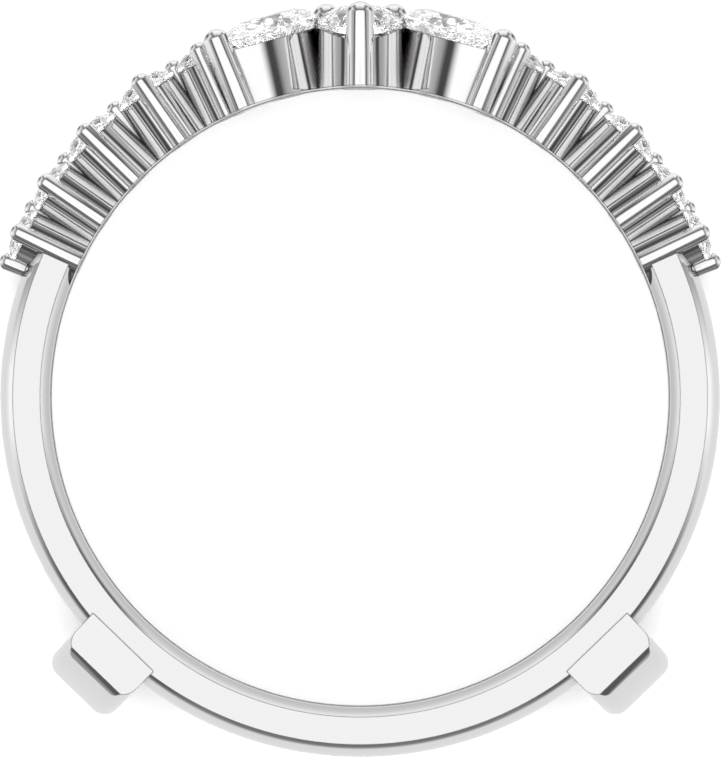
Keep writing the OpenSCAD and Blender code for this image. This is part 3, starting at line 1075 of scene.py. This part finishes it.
# each wall has stops of degrees down from overhead, and brightness
WALLS = {
    "sides": OVERHEAD + [
        (34, 1), (44, 0.06), (51, 0.06), (58, 0.34), (67, 0.48), (77, 0.72), (90, 0.9),
        (105, 0.93), (122, 0.92),
    ] + PALE_FLOOR,
    "upper corners": OVERHEAD + [
        (40, 1), (46, 0.07), (53, 0.07), (58, 0.55), (62, 0.5), (66, 0.3), (75, 0.35),
        (80, 0.75), (87, 0.85), (95, 0.6), (104, 0.1), (128, 0.1), (131, 0.4), (134, 0.68),
        (180, 0.67),
    ],
    "lower corners": OVERHEAD + [
        (40, 1), (46, 0.07), (54, 0.05), (58, 0.3), (61, 0.3), (65, 0.06), (75, 0.06),
        (80, 0.3), (84, 0.4), (90, 0.3), (99, 0.08), (119, 0.1), (123, 0.3), (128, 0.68),
        (180, 0.67),
    ],
    "foot": OVERHEAD + [
        (38, 1), (46, 0.06), (51, 0.06), (60, 0.12), (76, 0.12), (92, 0.25), (105, 0.12),
        (111, 0.15), (120, 0.17), (123, 0.3), (128, 0.68), (180, 0.67),
    ],
    "shoulders": OVERHEAD + [
        (38, 1), (46, 0.06), (54, 0.06), (60, 0.15), (76, 0.15), (90, 0.3), (104, 0.12),
        (110, 0.2), (114, 0.9), (122, 0.92),
    ] + PALE_FLOOR,
    "tent": [
        (0, 0.95), (30, 0.95), (42, 0.2), (58, 0.25), (80, 0.8), (110, 0.8), (122, 0.2),
        (180, 0.5),
    ],
}
print("stops:", {way: len(stops) for way, stops in WALLS.items()})

# %% [markdown]
# From tables to light
#
# A Color Ramp turns the number for how far down into a brightness, with even blends between
# its stops. A new one has two stops, so a loop adds the rest and then sets them all.

# %% A ramp for each wall
lit = {}
for way, stops in WALLS.items():
    node = add(sky, "ShaderNodeValToRGB", Fac=turned_down.outputs["Value"])
    ramp = node.color_ramp.elements
    while len(ramp) < len(stops):
        ramp.new(1)
    for element, (degrees, light) in zip(ramp, stops):
        element.position = degrees / 180
        element.color = (light, light, light, 1)
    lit[way] = node.outputs["Color"]
print("ramps of light:", len(lit))

# %% [markdown]
# Compass bearings
#
# Which wall a direction meets depends on its bearing, seen from above: X is the right of the
# picture and Y its top. The bearing is the direction with its height taken out. X times Y is
# nothing towards the sides and largest towards the corners, so it tells one from the other
# without an angle. Close to the picture's top the corners' share fades out again.

# %% Bearing and corners
level = add(
    sky, "ShaderNodeVectorMath", {"operation": "MULTIPLY"},
    _0=direction.outputs["Generated"], _1=(1, 1, 0),
)
compass = add(sky, "ShaderNodeVectorMath", {"operation": "NORMALIZE"}, _0=level.outputs["Vector"])
bearing = add(sky, "ShaderNodeSeparateXYZ", Vector=compass.outputs["Vector"])
cross = add(
    sky, "ShaderNodeMath", {"operation": "MULTIPLY"},
    _0=bearing.outputs["X"], _1=bearing.outputs["Y"],
)
diagonal = add(sky, "ShaderNodeMath", {"operation": "ABSOLUTE"}, _0=cross.outputs["Value"])
off_top = add(sky, "ShaderNodeMapRange", Value=bearing.outputs["Y"], From_Min=0.85, From_Max=0.62)
cornered = add(
    sky, "ShaderNodeMath", {"operation": "MULTIPLY"},
    _0=diagonal.outputs["Value"], _1=off_top.outputs["Result"],
)
corner_share = add(
    sky, "ShaderNodeMapRange", Value=cornered.outputs["Value"], From_Min=0.08, From_Max=0.45,
)
print("nodes in the studio so far:", len(sky.nodes))

# %% [markdown]
# Sides and corners
#
# The walls blend into each other by their shares. First the upper corners are told from the
# lower ones by whether the bearing points up the picture, and then the corners are blended
# with the sides, softly, so that no wall ends in a hard line on the metal.

# %% Blend the corners into the sides
above = add(sky, "ShaderNodeMath", {"operation": "GREATER_THAN"}, _0=bearing.outputs["Y"], _1=0)
corners = add(
    sky, "ShaderNodeMix", {"data_type": "RGBA"},
    _0=above.outputs["Value"], _6=lit["lower corners"], _7=lit["upper corners"],
)
cornered_walls = add(
    sky, "ShaderNodeMix", {"data_type": "RGBA"},
    _0=corner_share.outputs["Result"], _6=lit["sides"], _7=corners.outputs[2],
)
print("blends:", sum(node.type == "MIX" for node in sky.nodes))

# %% [markdown]
# Shoulders and foot
#
# Two narrow walls are left. One stands on either side of the picture's top: the flanks of
# the lowest collets mirror its dark middle, and the inside of the shank its bright foot. The
# other, at the picture's bottom, draws the dark line along the shank's outer edge there.
# Each share is a Map Range of the bearing. That of the shoulders rises and falls again, so
# it is one range times another.

# %% Blend in the shoulders and the foot
rise = add(sky, "ShaderNodeMapRange", Value=bearing.outputs["Y"], From_Min=0.72, From_Max=0.82)
fall = add(sky, "ShaderNodeMapRange", Value=bearing.outputs["Y"], From_Min=0.95, From_Max=0.89)
shoulder_share = add(
    sky, "ShaderNodeMath", {"operation": "MULTIPLY"},
    _0=rise.outputs["Result"], _1=fall.outputs["Result"],
)
walls = add(
    sky, "ShaderNodeMix", {"data_type": "RGBA"},
    _0=shoulder_share.outputs["Value"], _6=cornered_walls.outputs[2], _7=lit["shoulders"],
)
foot_share = add(
    sky, "ShaderNodeMapRange", Value=bearing.outputs["Y"], From_Min=-0.82, From_Max=-0.93,
)
studio = add(
    sky, "ShaderNodeMix", {"data_type": "RGBA"},
    _0=foot_share.outputs["Result"], _6=walls.outputs[2], _7=lit["foot"],
)
print("blends:", sum(node.type == "MIX" for node in sky.nodes))

# %% [markdown]
# The tent for the stones
#
# The metal has to mirror the walls, and the stones have to show the tent. The Light Path
# node tells them apart by where the light has been: a ray that comes out of a stone finds
# the tent and every other one finds the studio, whichever side the ring is seen from.

# %% Put the tent round the stones
path = add(sky, "ShaderNodeLightPath")
surroundings = add(
    sky, "ShaderNodeMix", {"data_type": "RGBA"},
    _0=path.outputs["Is Transmission Ray"], _6=studio.outputs[2], _7=lit["tent"],
)
background = sky.nodes["Background"]
background.inputs["Strength"].default_value = 1.25
sky.links.new(surroundings.outputs[2], background.inputs["Color"])
print(f"studio of {len(sky.nodes)} nodes at strength {background.inputs['Strength'].default_value:.2f}")

# %% [markdown]
# A lamp for the floor
#
# The studio's walls are set for the metal, and leave the paper a little grey. One wide, weak
# lamp straight above brings it up to white. It is kept out of reflections, because a square
# of light in a round prong would give it away.

# %% Lamp over the floor
lamp_data = bpy.data.lights.new("floor lamp", "AREA")
lamp_data.size = 0.4
lamp_data.energy = 4
lamp = bpy.data.objects.new("floor lamp", lamp_data)
lamp.location.z = 0.5
lamp.visible_glossy = False
bpy.context.scene.collection.objects.link(lamp)
print(f"lamp {lamp_data.size:.1f} m wide and {lamp_data.energy:.0f} W, {lamp.location.z:.1f} m up")

# %% [markdown]
# Light that finds its way out
#
# Light is thrown about inside a diamond, and between it and its bright seat, dozens of times
# before it comes out. The renderer gives up after 12 turns, and the stones' middles are then
# dark, so it is allowed 64. The Standard view keeps white paper white.

# %% Bounces and view
bounces = 64
cycles = bpy.context.scene.cycles
cycles.max_bounces = bounces
cycles.glossy_bounces = bounces
cycles.transmission_bounces = bounces
bpy.context.scene.view_settings.view_transform = "Standard"
print("light may turn", cycles.max_bounces, "times")

# %% [markdown]
# The camera
#
# The photograph looks straight down the finger's axis, from so far off that the back row
# hides behind the front one. A long lens at 600 mm sees it so too. The lens follows from how
# many pixels a millimetre takes up in the picture, and the small shift from where the ring's
# centre is in it. The picture is taller than wide, so the sensor's width fits its height.

# %% Camera
distance = 600
px_per_mm = 35.66
image_w, image_h = 721, 758
centre_px = (360.1, 397)
camera_data = bpy.data.cameras.new("camera")
camera_data.sensor_width = 36
camera_data.lens = distance * px_per_mm * camera_data.sensor_width / image_h
camera_data.shift_x = (image_w / 2 - centre_px[0]) / image_h
camera_data.shift_y = (centre_px[1] - image_h / 2) / image_h
camera_data.clip_end = 10
camera = bpy.data.objects.new("camera", camera_data)
camera.location = Vector((0, 0, distance)) * MM
bpy.context.scene.collection.objects.link(camera)
bpy.context.scene.camera = camera
print(f"lens {camera_data.lens:.0f} mm, shift {camera_data.shift_x:.4f} and {camera_data.shift_y:.4f}")

# %% [markdown]
# The size must not change
#
# Blender only dresses the ring, so it must still be the CAD model's size. The box round
# everything is measured again and printed beside the one from the start.

# %% Print the sizes before and after
dressed_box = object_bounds()
sizes = {"cad": [list(c) for c in cad_box], "dressed": [list(c) for c in dressed_box]}
for name, (low, high) in sizes.items():
    print(name, [round((b - a) / MM, 3) for a, b in zip(low, high)], "mm")
